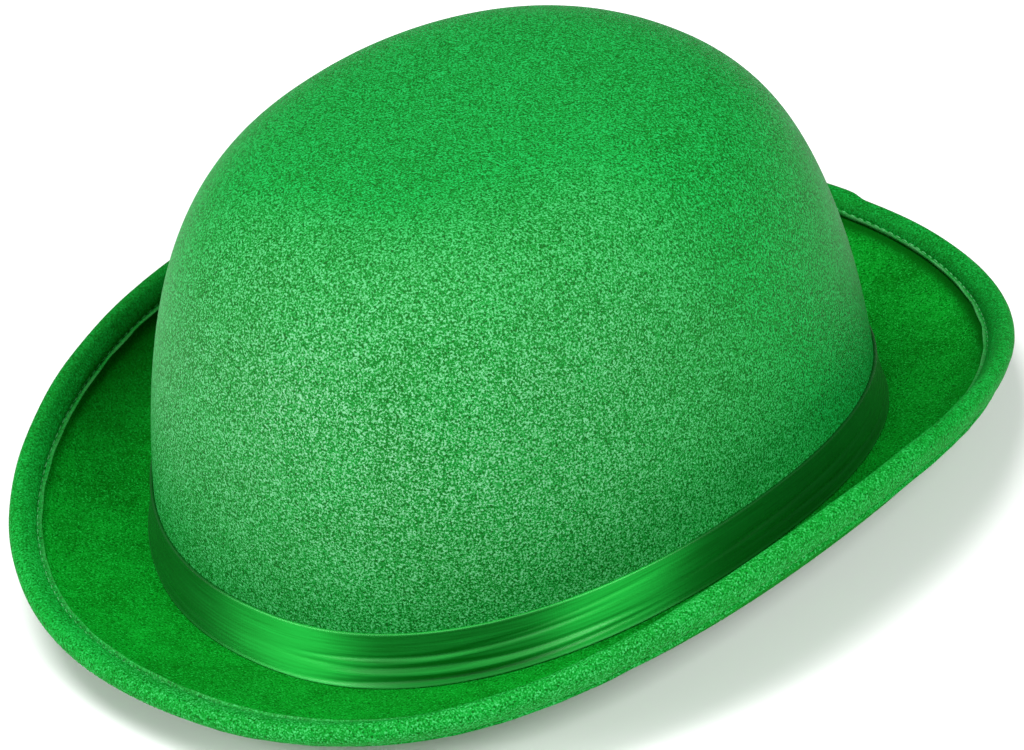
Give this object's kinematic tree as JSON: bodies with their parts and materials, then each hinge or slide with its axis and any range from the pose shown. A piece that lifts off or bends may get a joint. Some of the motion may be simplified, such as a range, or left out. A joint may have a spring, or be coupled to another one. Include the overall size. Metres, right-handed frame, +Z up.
{
  "type": "bowler hat",
  "caption": "Costume bowler hat with a stiff domed velour crown, a bound brim curled up at the sides, a satin band, a sweatband and a lining.",
  "frame": {"origin": "centre of the hat's outline, on the surface it stands on", "axes": "+Z up through the crown, -Y towards the front of the brim, +X towards one side"},
  "size_m": [0.242, 0.2956, 0.1218],
  "materials": {
    "crown_velour": "flocked velour, short pile",
    "brim_velour": "smooth velour",
    "binding_velour": "velour, folded and sewn",
    "stiff_felt": "stiffened felt",
    "steel_wire": "bright drawn wire",
    "thread": "twisted thread",
    "satin_ribbon": "satin",
    "sweatband_tape": "ribbed tape",
    "satin_lining": "satin"
  },
  "bodies": {
    "root": {"crown_cover": "crown_velour", "crown_shell": "stiff_felt", "brim_board": "stiff_felt", "brim_top_cover": "brim_velour", "brim_under_cover": "brim_velour", "edge_binding": "binding_velour", "edge_wire": "steel_wire", "binding_stitch": "thread", "hatband": "satin_ribbon", "hatband_keeper": "satin_ribbon", "sweatband": "sweatband_tape", "sweatband_stitch": "thread", "lining_side": "satin_lining", "lining_tip": "satin_lining"}
  },
  "joints": []
}
